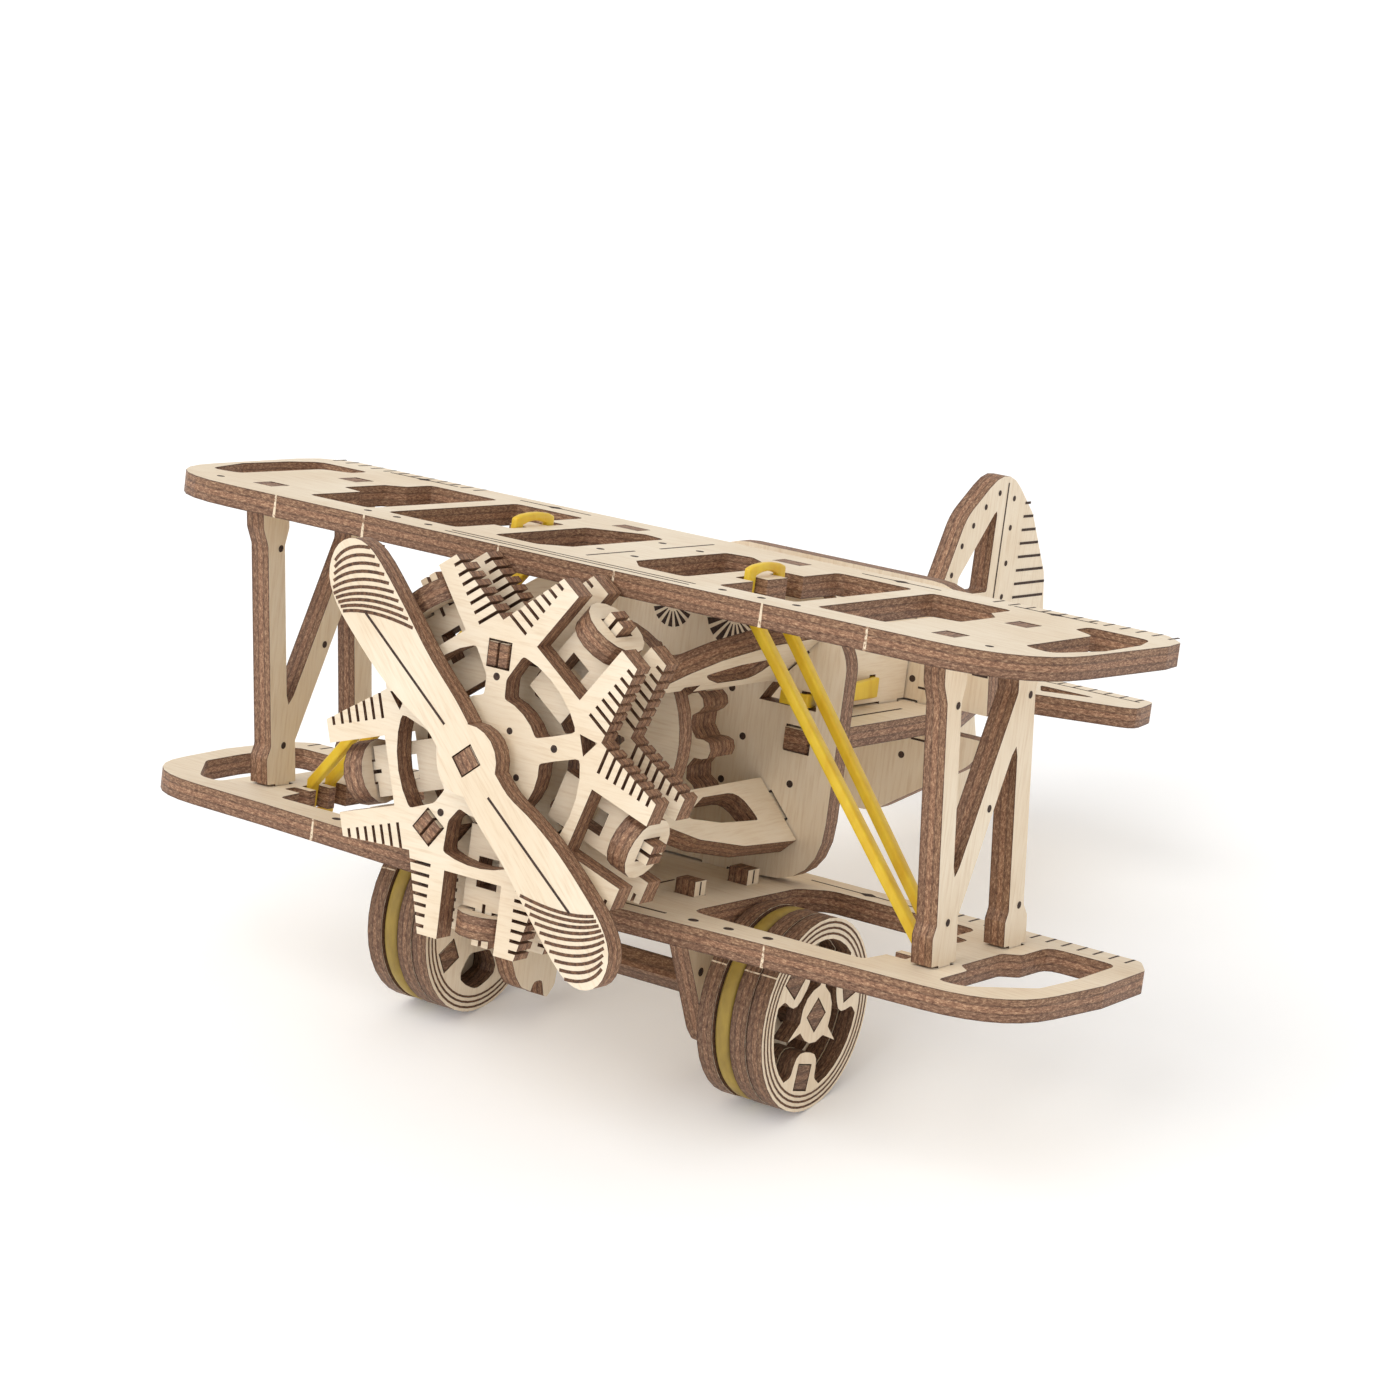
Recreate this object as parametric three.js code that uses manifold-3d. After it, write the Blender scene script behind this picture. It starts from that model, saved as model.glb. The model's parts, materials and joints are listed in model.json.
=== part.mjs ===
// Biplane scale model: an assembly of laser-cut plywood plates, held by tenons and rubber bands.
// Millimetres, +X to the right wing tip, -Y the nose, +Z up, origin under the middle of the model.
// Aircraft axes: every plate is drawn level, with z = 0 on top of the lower wing, and the whole
// aircraft group is then pitched nose-up, so that it stands on its two wheels and its tail skid.
import * as THREE from "three";
import { mergeVertices } from "three/addons/utils/BufferGeometryUtils.js";
import Module from "manifold-3d";

const wasm = await Module();
wasm.setup();

// Driving dimensions
const PLY = 3; // plywood thickness
const GAP = 0.3; // air between pieces that touch on the real model
const WING_GAP = 39.3; // from the top of the lower wing to the underside of the upper wing
const UPPER_SEMISPAN = 69.7;
const LOWER_SEMISPAN = 71.2;
const STAGGER = 0.185; // forward lean of the interplane struts, mm per mm of height
const STRUT_X = 51.7; // inner face of the right strut
const SHAFT_Z = 17.3; // propeller shaft axis
const SHAFT = { w: 2.6, h: PLY, turn: -50 }; // section of the propeller shaft, degrees of turn
const STAR_Y = { front: -23.6, piston: -20.4, rear: -17.2 }; // front faces of the engine's layers
const DECK_Z = 18; // underside of the fuselage deck
const BULKHEAD_Y = 20.7; // front face of the front bulkhead
const REAR_BULKHEAD_Y = 57;
const ENGINE_DISC_Y = -2.5; // front face of the disc behind the engine
const AXLE = { y: 11.5, z: -13.5 };
const WHEEL_R = 13;
const WHEEL_X = 22; // inner face of the right wheel
const LEG_X = 14; // inner face of the right landing leg
const WHEEL_PLY = 2.35; // thickness of each of the four plates of a wheel
const SKID_Y = 103; // where the tail skid meets the ground
const PITCH = THREE.MathUtils.degToRad(13); // nose-up attitude, standing on wheels and skid
const CENTRE_Y = 46.58; // middle of the pitched aircraft's length

const PALE = { color: 0xecdec8, roughness: 0.75, metalness: 0 };
const TOP = { color: 0xf3e8d6, roughness: 0.75, metalness: 0 };
const RUBBER = { color: 0xe1b428, roughness: 0.5, metalness: 0 };
const TYRE = { color: 0x96873c, roughness: 0.6, metalness: 0 };

const aircraft = new THREE.Group();

// ---------- drawing helpers ----------

const polar = (r, degrees, cx = 0, cy = 0) => {
  const a = THREE.MathUtils.degToRad(degrees);
  return [cx + r * Math.cos(a), cy + r * Math.sin(a)];
};

const angleOf = ([x, y]) => THREE.MathUtils.radToDeg(Math.atan2(y, x));

const vectors = (points) => points.map(([x, y]) => new THREE.Vector2(x, y));

// A closed outline from corner points; a point with a third number is rounded with that radius.
function rounded(path, points) {
  const corner = vectors(points);
  const n = corner.length;
  const trace = [];
  corner.forEach((p, i) => {
    const r = points[i][2] || 0;
    if (r === 0) {
      trace.push(p);
      return;
    }
    const back = corner[(i + n - 1) % n].clone().sub(p).normalize();
    const ahead = corner[(i + 1) % n].clone().sub(p).normalize();
    const reach = r / Math.tan(Math.acos(back.dot(ahead)) / 2);
    const start = p.clone().addScaledVector(back, reach);
    const end = p.clone().addScaledVector(ahead, reach);
    const steps = Math.max(2, Math.ceil(1.7 * Math.sqrt(r)));
    trace.push(...new THREE.QuadraticBezierCurve(start, p, end).getPoints(steps));
  });
  return path.setFromPoints(trace);
}

const outline = (points) => rounded(new THREE.Shape(), points);
const hole = (points) => rounded(new THREE.Path(), points);
const mirrored = (points) => points.map(([x, y, r]) => [-x, y, r]);

function circle(path, cx, cy, r) {
  path.absarc(cx, cy, r, 0, 2 * Math.PI, false);
  return path;
}

const disc = (r, cx = 0, cy = 0) => circle(new THREE.Shape(), cx, cy, r);
const bore = (r, cx = 0, cy = 0) => circle(new THREE.Path(), cx, cy, r);

function box2d(x0, y0, x1, y1) {
  return [
    [x0, y0],
    [x1, y0],
    [x1, y1],
    [x0, y1],
  ];
}

// A closed prism on a ring of points, between two heights.
function prism(points, low, high) {
  const options = { depth: high - low, bevelEnabled: false };
  const geometry = new THREE.ExtrudeGeometry(new THREE.Shape(points), options);
  geometry.translate(0, 0, low);
  geometry.deleteAttribute("normal");
  geometry.deleteAttribute("uv");
  const merged = mergeVertices(geometry);
  const vertProperties = merged.attributes.position.array;
  const triVerts = new Uint32Array(merged.index.array);
  return new wasm.Manifold(new wasm.Mesh({ numProp: 3, vertProperties, triVerts }));
}

function meshFrom(name, manifold, finish) {
  const { vertProperties, triVerts } = manifold.getMesh();
  const indexed = new THREE.BufferGeometry();
  indexed.setAttribute("position", new THREE.BufferAttribute(vertProperties, 3));
  indexed.setIndex(new THREE.BufferAttribute(triVerts, 1));
  const geometry = indexed.toNonIndexed();
  geometry.computeVertexNormals();
  const mesh = new THREE.Mesh(geometry, new THREE.MeshStandardMaterial(finish));
  mesh.name = name;
  return mesh;
}

// A flat plate: the shape's outline with each of its holes cut through.
function solid(name, shape, thickness, finish, segments = 5) {
  const rings = shape.extractPoints(segments);
  let plate = prism(rings.shape, 0, thickness);
  for (const ring of rings.holes) plate = plate.subtract(prism(ring, -1, thickness + 1));
  return meshFrom(name, plate, finish);
}

// Plates by the axis that their faces look along. Each takes its lowest coordinate on that axis.
const TO_YZ = new THREE.Quaternion().setFromAxisAngle(
  new THREE.Vector3(1, 1, 1).normalize(),
  (2 * Math.PI) / 3,
);

function plateX(name, shape, x, finish = PALE, thickness = PLY, segments = 5) {
  const mesh = solid(name, shape, thickness, finish, segments);
  mesh.quaternion.copy(TO_YZ);
  mesh.position.x = x;
  aircraft.add(mesh);
  return mesh;
}

function plateY(name, shape, y, finish = PALE, thickness = PLY, segments = 5) {
  const mesh = solid(name, shape, thickness, finish, segments);
  mesh.rotation.x = Math.PI / 2;
  mesh.position.y = y + thickness;
  aircraft.add(mesh);
  return mesh;
}

function plateZ(name, shape, z, finish = TOP, thickness = PLY, segments = 5) {
  const mesh = solid(name, shape, thickness, finish, segments);
  mesh.position.z = z;
  aircraft.add(mesh);
  return mesh;
}

const SIDES = [
  ["left", -1],
  ["right", 1],
];

const flip = (points, side) => (side > 0 ? points : mirrored(points));

// ---------- wings ----------

const SLOT_GAP = 0.15; // clearance round a tenon on each side
const LEAN_GAP = 0.3; // extra length of a slot that takes a leaning tenon

// Windows of the right half; the left half mirrors them. The narrow bites beside a rib or a rail
// take the strands of the bracing bands, which wrap the tongue between two bites.
const UPPER_WINDOWS = [
  [[5, -3], [8, -6.8, 1], [15, -6.8, 1], [15, 14.3, 1], [8.6, 19.4, 1], [5, 18.4, 1]],
  [
    [20.5, -7.6, 1], [32, -7.6, 1], [32, 21.8, 1], [20.5, 21.8, 1], [20.5, 13], [17.6, 13, 0.5],
    [17.6, 9.1, 0.2], [20.5, 9.1], [20.5, 4.3], [17.6, 4.3, 0.2], [17.6, 0.8, 0.5], [20.5, 0.8],
  ],
  [
    [35, -7.6, 1], [45.3, -7.6, 1], [45.3, 3.6], [48.8, 4.4, 0.6], [48.8, 13.4, 1], [46.8, 16],
    [46.8, 21.6, 1], [35, 21.6, 1],
  ],
  [
    [61.6, -2.4, 1], [65.8, -4, 2], [68.2, 6, 3], [68, 16, 3], [66.6, 21.5, 2], [58, 21.5, 1],
    [58, 17.5, 1], [61.6, 15.4, 2],
  ],
];

const LOWER_WINDOWS = [
  [
    [21, -4.8, 2], [46.8, -4.8, 1], [47.3, 0.1], [50, 0.1, 0.4], [50, 2.4, 0.4], [47.3, 2.4],
    [47.3, 3.8], [50, 3.8, 0.4], [50, 6.8, 0.2], [47.3, 6.8], [47.3, 8.2], [50, 8.2, 0.2],
    [50, 10.7, 0.4], [47.3, 10.7], [47.3, 14], [49.5, 14.5, 0.5],
    [49.5, 17, 0.5], [47.3, 17.6], [47.3, 23.7, 2], [25, 23.7, 3], [21.6, 20, 3],
  ],
  [
    [57.5, -5, 1], [61, -5, 3], [67.2, 3.6, 3], [67.8, 12], [67.4, 24.4, 2], [57.5, 24.4, 2],
    [57.5, 17, 1], [55.6, 15, 1], [55.6, 4.4, 1], [57.5, 2.6, 1],
  ],
];

const STRUT_TENONS = [
  [0.2, 3.2],
  [18.6, 21.8],
]; // y at z = 0, front and rear
const TOP_TENON = [11, 15]; // x of the bulkhead's tenons into the upper wing
const BOTTOM_TENON = [6, 10]; // and into the lower wing
const LEG_TENONS = [
  [2, 4.6],
  [14.8, 17.6],
]; // y

const lean = (y, z) => y - STAGGER * z;

function slotAt(x0, x1, y0, y1) {
  return hole(box2d(x0 - SLOT_GAP, y0 - SLOT_GAP, x1 + SLOT_GAP, y1 + SLOT_GAP));
}

function slotBothSides(shape, x0, x1, y0, y1) {
  shape.holes.push(slotAt(x0, x1, y0, y1));
  shape.holes.push(slotAt(-x1, -x0, y0, y1));
}

// half: the right half of the outline, from the leading edge to the trailing edge
function wing(name, z, lead, half, windows) {
  const shape = outline([[0, lead], ...half, ...mirrored(half).reverse()]);
  for (const [, side] of SIDES) {
    for (const points of windows) shape.holes.push(hole(flip(points, side)));
  }
  const middle = z + PLY / 2;
  for (const [y0, y1] of STRUT_TENONS) {
    const front = lean(y0, middle) - LEAN_GAP;
    const rear = lean(y1, middle) + LEAN_GAP;
    slotBothSides(shape, STRUT_X, STRUT_X + PLY, front, rear);
  }
  const bulkheadTenon = z > 0 ? TOP_TENON : BOTTOM_TENON;
  slotBothSides(shape, ...bulkheadTenon, BULKHEAD_Y, BULKHEAD_Y + PLY);
  if (z < 0) {
    for (const [y0, y1] of LEG_TENONS) slotBothSides(shape, LEG_X, LEG_X + PLY, y0, y1);
  }
  return plateZ(name, shape, z);
}

function addWings() {
  const b = UPPER_SEMISPAN;
  const upperHalf = [[b - 1.5, -13.4, 15], [b + 0.2, 20], [b - 0.4, 24.6, 1], [b - 4, 28.2, 2]];
  wing("upper_wing", WING_GAP, -13.9, upperHalf, UPPER_WINDOWS);
  const c = LOWER_SEMISPAN;
  const lowerHalf = [[45, -10], [c - 2, -8.8, 13], [c + 0.2, 13], [c - 0.4, 25.4, 2], [c - 3, 29.5, 2]];
  wing("lower_wing", -PLY, -13.9, lowerHalf, LOWER_WINDOWS);
}

// ---------- interplane struts: one leaning N-shaped plate on each side ----------

function strutShape() {
  const top = WING_GAP - GAP;
  const tip = WING_GAP + PLY;
  const [[f0, f1], [r0, r1]] = STRUT_TENONS;
  const points = [
    [-1.5, GAP], [f0, GAP], [f0, -PLY], [f1, -PLY], [f1, GAP], [4.6, GAP], [4.6, 6.2, 0.5],
    [18, 28.3, 0.8], [18, 5, 1], [17.2, 3.6], [17.2, GAP], [r0, GAP], [r0, -PLY], [r1, -PLY],
    [r1, GAP], [23, GAP], [23, 4, 1], [21.9, 5.6, 1], [21.9, 34, 1], [22.8, 35.4, 1], [22.8, top],
    [r1, top], [r1, tip], [r0, tip], [r0, top], [17.4, top], [17.4, 34, 1], [2.9, 10.2, 0.8],
    [2.9, 34, 1], [3.9, 36.4, 1], [3.9, top], [f1, top], [f1, tip], [f0, tip], [f0, top],
    [-1.5, top], [-1.5, 36.4, 1], [-0.6, 34, 1], [-0.6, 5.6, 1], [-1.5, 4, 1],
  ];
  return outline(points.map(([y, z, r]) => [lean(y, z), z, r]));
}

function addStruts() {
  for (const [side, sign] of SIDES) {
    const x = sign > 0 ? STRUT_X : -STRUT_X - PLY;
    plateX("interplane_strut_" + side, strutShape(), x);
  }
}

// ---------- radial engine: two star plates with five pistons between them ----------

const CYLINDERS = [54, -18, -90, -162, 126]; // degrees
const SPOKES = [90, 18, -54, -126, 162];
const TIE_SPOKES = [90, -54, -126]; // the spokes that carry an engine tie
const TIE_R = 13.2;
const TIE_HALF = 1.5;
const SHAFT_BORE = 2.4;
const FIN_RADII = [15.5, 16.9, 18.2, 19.5, 20.8, 22.1, 23.5];
const FIN_SLIT = 0.45;

// Engine plane: across = tangential (counter-clockwise), out = radial, both about the shaft.
function engineXZ(degrees, across, out) {
  const a = THREE.MathUtils.degToRad(degrees);
  const x = out * Math.cos(a) - across * Math.sin(a);
  const z = out * Math.sin(a) + across * Math.cos(a);
  return [x, z + SHAFT_Z];
}

const enginePoints = (degrees, points) => points.map(([t, r]) => engineXZ(degrees, t, r));

// One side of a cylinder, from the valley to the slot, with its cooling fins.
function finnedSide() {
  const foot = [10.35, 14.24];
  const tip = [7.6, 24.6];
  const root = 6.7;
  const edge = (r) => foot[0] + ((tip[0] - foot[0]) * (r - foot[1])) / (tip[1] - foot[1]);
  const points = [foot];
  for (const r of FIN_RADII) {
    const low = r - FIN_SLIT / 2;
    const high = r + FIN_SLIT / 2;
    points.push([edge(low), low], [root, low], [root, high], [edge(high), high]);
  }
  points.push(tip, [4.5, 24.6], [4.5, 15.6]);
  return points;
}

const STAR_WINDOW = { inner: 8, neck: 10.4, outer: 14.2 }; // radii

// Points on an arc about the origin, without its two ends.
function arcBetween(r, from, to, steps) {
  const points = [];
  for (let i = 1; i < steps; i += 1) points.push(polar(r, from + ((to - from) * i) / steps));
  return points;
}

// The window between two spokes. A spoke that carries a tie is wider at its pad.
function starWindow(cylinder) {
  const { inner, neck, outer } = STAR_WINDOW;
  const before = SPOKES.find((s) => Math.abs(wrap(cylinder - 36 - s)) < 1);
  const after = SPOKES.find((s) => Math.abs(wrap(cylinder + 36 - s)) < 1);
  const [left, right] = [[before, -1], [after, 1]].map(([spoke, sign]) => {
    const pad = TIE_SPOKES.includes(spoke) ? 15 : 6.5;
    const flank = [[inner, 11.5, 0.5], [neck, 8.5, 1.2], [outer, pad, 0.6]];
    return flank.map(([r, turn, round]) => [...polar(r, cylinder - sign * (turn - 36)), round]);
  });
  const turnOf = (point) => wrap(angleOf(point) - cylinder) + cylinder;
  const far = arcBetween(outer, turnOf(left[2]), turnOf(right[2]), 5);
  const near = arcBetween(inner, turnOf(right[0]), turnOf(left[0]), 4);
  const points = [...left, ...far, ...right.slice().reverse(), ...near];
  return points.map(([x, z, round]) => [x, z + SHAFT_Z, round]);
}

function wrap(degrees) {
  return ((((degrees + 180) % 360) + 360) % 360) - 180;
}

function starShape() {
  const points = [];
  for (const angle of CYLINDERS.slice().sort((a, b) => a - b)) {
    const half = finnedSide();
    points.push(...enginePoints(angle, half.map(([t, r]) => [-t, r])));
    points.push(...enginePoints(angle, half.slice(1).reverse()));
  }
  const shape = outline(points);
  shape.holes.push(bore(SHAFT_BORE, 0, SHAFT_Z));
  for (const cylinder of CYLINDERS) shape.holes.push(hole(starWindow(cylinder)));
  for (const spoke of TIE_SPOKES) shape.holes.push(hole(tieHole(spoke)));
  for (const spoke of [18, 162]) {
    shape.holes.push(hole(enginePoints(spoke, [[-1.4, 14.6], [1.4, 14.6], [0, 17]])));
  }
  return shape;
}

function tieHole(spoke) {
  const half = TIE_HALF + GAP;
  return enginePoints(spoke, box2d(-half, TIE_R - half, half, TIE_R + half));
}

// A plate whose face looks outwards along a radius: local x is across, local y is aft.
function plateRadial(name, shape, degrees, out, thickness = PLY, segments = 5) {
  const mesh = solid(name, shape, thickness, PALE, segments);
  const a = THREE.MathUtils.degToRad(degrees);
  const across = new THREE.Vector3(Math.sin(a), 0, -Math.cos(a));
  const radial = new THREE.Vector3(Math.cos(a), 0, Math.sin(a));
  const basis = new THREE.Matrix4().makeBasis(across, new THREE.Vector3(0, 1, 0), radial);
  mesh.quaternion.setFromRotationMatrix(basis);
  mesh.position.copy(radial).multiplyScalar(out);
  mesh.position.z += SHAFT_Z;
  aircraft.add(mesh);
  return mesh;
}

// The piston's tenon is split, so that it springs into its cap.
function pistonShape(cylinder) {
  const body = [
    [-3.3, 9.5], [3.3, 9.5], [3.3, 20.2], [1.3, 20.2], [1.3, 25], [0.25, 25], [0.25, 19.4],
    [-0.25, 19.4], [-0.25, 25], [-1.3, 25], [-1.3, 20.2], [-3.3, 20.2],
  ];
  const shape = outline(enginePoints(cylinder, body));
  shape.holes.push(hole(enginePoints(cylinder, box2d(-1.6, 13.4, 1.6, 17.4))));
  return shape;
}

// Round at the top, where the cowl petals lean on it, and squarer below, around the two lower ties.
function engineDiscShape() {
  const centreZ = 19.7;
  const radius = 14.6;
  const step = 8;
  const half = [[0, centreZ + radius]];
  for (let a = 90 - step; a >= -38; a -= step) half.push(polar(radius, a, 0, centreZ));
  half.push([11.7, 5.4, 2], [7, 2.5, 3]);
  const shape = outline([...half, ...mirrored(half.slice(1)).reverse()]);
  shape.holes.push(bore(SHAFT_BORE, 0, SHAFT_Z));
  for (const spoke of TIE_SPOKES) shape.holes.push(hole(tieHole(spoke)));
  return shape;
}

function addEngine() {
  plateY("front_star_plate", starShape(), STAR_Y.front);
  plateY("rear_star_plate", starShape(), STAR_Y.rear);
  CYLINDERS.forEach((cylinder, i) => {
    plateY("piston_plate_" + (i + 1), pistonShape(cylinder), STAR_Y.piston);
    const middle = STAR_Y.piston + PLY / 2;
    const cap = disc(4.2, 0, middle);
    const tenon = [1.3 + GAP, PLY / 2 + GAP];
    cap.holes.push(hole(box2d(-tenon[0], middle - tenon[1], tenon[0], middle + tenon[1])));
    plateRadial("piston_cap_" + (i + 1), cap, cylinder, 20.5, PLY, 8);
  });
  const front = STAR_Y.front - GAP;
  const shoulder = STAR_Y.rear + PLY + GAP;
  const back = ENGINE_DISC_Y - GAP;
  const end = ENGINE_DISC_Y + PLY;
  TIE_SPOKES.forEach((spoke, i) => {
    const w = TIE_HALF;
    const tie = outline([
      [-w, front], [-0.2, front], [-0.2, front + 8], [0.2, front + 8], [0.2, front], [w, front],
      [w, shoulder], [2.9, shoulder], [2.9, back], [w, back], [w, end], [-w, end], [-w, back],
      [-2.9, back], [-2.9, shoulder], [-w, shoulder],
    ]);
    plateRadial("engine_tie_" + (i + 1), tie, spoke, TIE_R - TIE_HALF);
  });
  plateY("engine_disc", engineDiscShape(), ENGINE_DISC_Y);
}

// ---------- propeller, shaft and shaft gear: one turning group ----------

const PROP = { y: -28, turn: 132.6, hub: 4.6 };
const GEAR = { y: 9, thickness: 2 * PLY, tip: 12.3, root: 9.3, lobes: 11, lobe: 1.3, turn: 2 };

function shaftSection(gap) {
  const w = SHAFT.w / 2 + gap;
  const h = SHAFT.h / 2 + gap;
  const turn = THREE.MathUtils.degToRad(SHAFT.turn);
  return vectors(box2d(-w, -h, w, h)).map((p) => {
    p.rotateAround(new THREE.Vector2(), turn);
    return [p.x, p.y + SHAFT_Z];
  });
}

// Blade outline along the blade (u) and across it (v); the second blade is the first, half a turn on.
const BLADE = [
  [3.6, 2.9], [7, 3.1], [11, 4.4], [16, 5.5], [22, 6.1], [27, 6.2], [30.8, 5], [32.9, 2],
  [32.2, -0.9], [29, -2.5], [22, -2.7], [14, -2.5], [7.5, -2.9], [3.8, -2.9],
];

function propellerShape() {
  const shape = new THREE.Shape();
  const centre = new THREE.Vector2(0, SHAFT_Z);
  const rad = THREE.MathUtils.degToRad;
  for (const half of [0, 180]) {
    const turn = rad(PROP.turn - half);
    const blade = vectors(BLADE).map((p) => p.rotateAround(new THREE.Vector2(), turn).add(centre));
    if (half === 0) shape.moveTo(blade[0].x, blade[0].y);
    shape.splineThru(blade.slice(1));
    const from = turn + rad(angleOf(BLADE.at(-1)));
    const to = turn + rad(angleOf(BLADE[0]) - 180);
    shape.absarc(0, SHAFT_Z, PROP.hub, from, to, true);
  }
  shape.holes.push(hole(shaftSection(0.2)));
  return shape;
}

// A gear with round-ended lobes and V-shaped valleys, two plies thick.
function gearShape() {
  const { tip, root, lobes, lobe, turn } = GEAR;
  const points = [];
  const pitch = 360 / lobes;
  for (let i = 0; i < lobes; i += 1) {
    const middle = turn + i * pitch;
    const flank = [[-lobe, root + 0.6], [-lobe, tip], [lobe, tip], [lobe, root + 0.6]];
    const [p, q, r, s] = enginePoints(middle, flank);
    points.push([...engineXZ(middle - pitch / 2, 0, root)], p, [...q, lobe - 0.1], [...r, lobe - 0.1], s);
  }
  const shape = outline(points);
  shape.holes.push(hole(shaftSection(0.2)));
  return shape;
}

function addTurningShaft() {
  plateY("propeller", propellerShape(), PROP.y, PALE, PLY, 3);
  const length = BULKHEAD_Y + PLY - GAP - PROP.y;
  plateY("prop_shaft", outline(shaftSection(0)), PROP.y, PALE, length);
  plateY("shaft_gear", gearShape(), GEAR.y, PALE, GEAR.thickness);
}

// ---------- fuselage: bulkhead, deck, sides, round former, tail ----------

const PRONG = [16.6, 20]; // x of the deck's prongs through the bulkhead
const BAND_Z = [24, 25.8]; // height of the fuselage bands at the bulkhead
const BAND_HOOK_Y = 42.5; // front edge of the fuselage side's rear leg, which the band hooks over
const BAND_SLOT = [46.4, 22, 48, 25.3]; // y and z of the slot that the band goes back through
const BAND_WINDOW_Z = [BAND_Z[0] - GAP, BAND_Z[1] + GAP];
const SIDE_X = 10.3;
const SIDE_TENON = { bulkhead: [34.2, 37], former: [29, 33], deck: [50, 55] };
const FORMER_TENON = { upper: [15.5, 18.5], lower: [6, 9] };
const FIN_TENON = [92, 96];
const SKID_TENON = [86, 89.4];

// Petal plane: along = s, away from the shaft and outwards, over = towards the plate's outer face.
const PETAL = { x: 13.9, z: 13.1, along: [0.685, -0.728], over: [0.728, 0.685], mirrorZ: 20 };

function petalXZ(s, n, side, upper) {
  const x = PETAL.x + s * PETAL.along[0] + n * PETAL.over[0];
  const z = PETAL.z + s * PETAL.along[1] + n * PETAL.over[1];
  return [side * x, upper ? 2 * PETAL.mirrorZ - z : z];
}

const PETAL_TENON = [2, 6]; // s

function bulkheadShape() {
  const half = [
    [BOTTOM_TENON[0], GAP], [BOTTOM_TENON[0], -PLY], [BOTTOM_TENON[1], -PLY], [BOTTOM_TENON[1], GAP],
    [24.3, GAP, 9], [24.3, 31, 6], [19.5, WING_GAP - GAP, 1], [TOP_TENON[1], WING_GAP - GAP],
    [TOP_TENON[1], WING_GAP + PLY], [TOP_TENON[0], WING_GAP + PLY], [TOP_TENON[0], WING_GAP - GAP],
  ];
  const shape = outline([...half, ...mirrored(half).reverse()]);
  shape.holes.push(bore(SHAFT_BORE, 0, SHAFT_Z));
  const [z0, z1] = BAND_WINDOW_Z;
  for (const [, side] of SIDES) {
    const cuts = [
      box2d(PRONG[0] - GAP, DECK_Z - GAP, PRONG[1] + GAP, DECK_Z + PLY + GAP),
      [[11.6, z0], [16.4, z0], [16.4, z1 + 0.5], [13.4, z1 + 0.3]],
      box2d(18, z0, 20.5, z1),
      box2d(SIDE_X - GAP, SIDE_TENON.bulkhead[0] - GAP, SIDE_X + PLY + GAP, SIDE_TENON.bulkhead[1] + GAP),
    ];
    for (const points of cuts) shape.holes.push(hole(flip(points, side)));
    for (const upper of [false, true]) {
      const s = [PETAL_TENON[0] - GAP, PETAL_TENON[1] + GAP];
      const n = [-PLY - GAP, GAP];
      const corners = [[s[0], n[0]], [s[1], n[0]], [s[1], n[1]], [s[0], n[1]]];
      shape.holes.push(hole(corners.map(([a, b]) => petalXZ(a, b, side, upper))));
    }
  }
  return shape;
}

function petalShape() {
  const end = BULKHEAD_Y - GAP;
  const tip = BULKHEAD_Y + PLY;
  const disc0 = ENGINE_DISC_Y - GAP;
  const disc1 = ENGINE_DISC_Y + PLY + GAP;
  const notch = 1; // clears the rim of the engine disc
  const shape = outline([
    [-0.4, disc1], [notch, disc1], [notch, disc0], [0.2, disc0], [0.2, -9, 0.6], [1.8, -9, 0.6],
    [4.3, -5.4, 2], [6.6, -0.6, 4], [8.7, 8.2, 6], [9.4, end], [PETAL_TENON[1], end],
    [PETAL_TENON[1], tip], [PETAL_TENON[0], tip], [PETAL_TENON[0], end], [-0.4, end],
  ]);
  shape.holes.push(hole([
    [3.4, -0.8, 0.4], [4.9, 6, 4], [5.5, 14.4, 0.3], [4.8, 14.4], [1, 13.6, 3.4], [0.9, 5, 1],
    [2.2, 1.4, 1],
  ]));
  return shape;
}

function addPetals() {
  for (const [side, sign] of SIDES) {
    for (const [level, upper] of [["upper", true], ["lower", false]]) {
      const mesh = solid("cowl_petal_" + level + "_" + side, petalShape(), PLY, PALE);
      const [x0, z0] = petalXZ(0, 0, sign, upper);
      const [x1, z1] = petalXZ(1, 0, sign, upper);
      const along = new THREE.Vector3(x1 - x0, 0, z1 - z0).normalize();
      const aft = new THREE.Vector3(0, 1, 0);
      const face = along.clone().cross(aft);
      const [xn, zn] = petalXZ(0, -PLY, sign, upper);
      const inward = new THREE.Vector3(xn - x0, 0, zn - z0);
      const start = face.dot(inward) > 0 ? [x0, z0] : [xn, zn];
      mesh.quaternion.setFromRotationMatrix(new THREE.Matrix4().makeBasis(along, aft, face));
      mesh.position.set(start[0], 0, start[1]);
      aircraft.add(mesh);
    }
  }
}

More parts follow.
